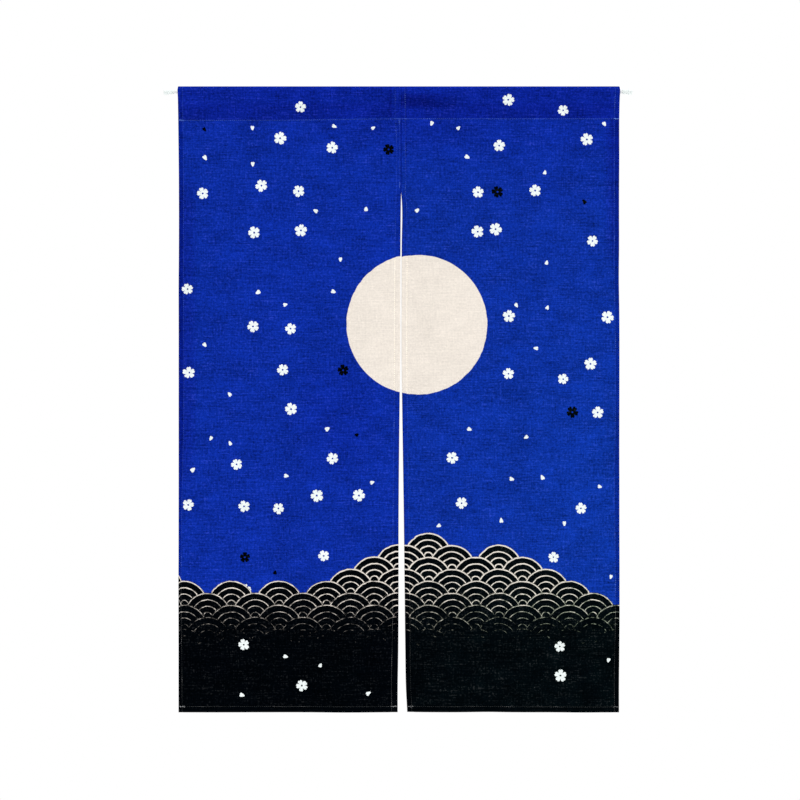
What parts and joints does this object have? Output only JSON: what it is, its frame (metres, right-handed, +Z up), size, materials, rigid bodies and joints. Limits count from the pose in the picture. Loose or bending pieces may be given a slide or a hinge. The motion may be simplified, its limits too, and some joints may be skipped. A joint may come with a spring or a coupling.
{
  "type": "noren curtain and rod",
  "caption": "Split door curtain of printed cotton-linen cloth, its panels sewn together at the top and hung by their casing from a slim white rod with rubber end caps.",
  "frame": {"origin": "on the rod's axis, midway between the curtain's outer edges", "axes": "+Z up, +X along the rod towards its right end, the printed face looks along -Y"},
  "size_m": [0.9009, 0.0172, 1.206],
  "materials": {
    "printed_cloth": "matt printed cotton-linen, cobalt blue and black",
    "coated_steel": "white plastic-coated steel, semi-gloss",
    "cap_rubber": "white rubber, satin"
  },
  "bodies": {
    "root": {"panel_left": "printed_cloth", "panel_right": "printed_cloth", "rod": "coated_steel", "cap_left": "cap_rubber", "cap_right": "cap_rubber"}
  },
  "joints": []
}
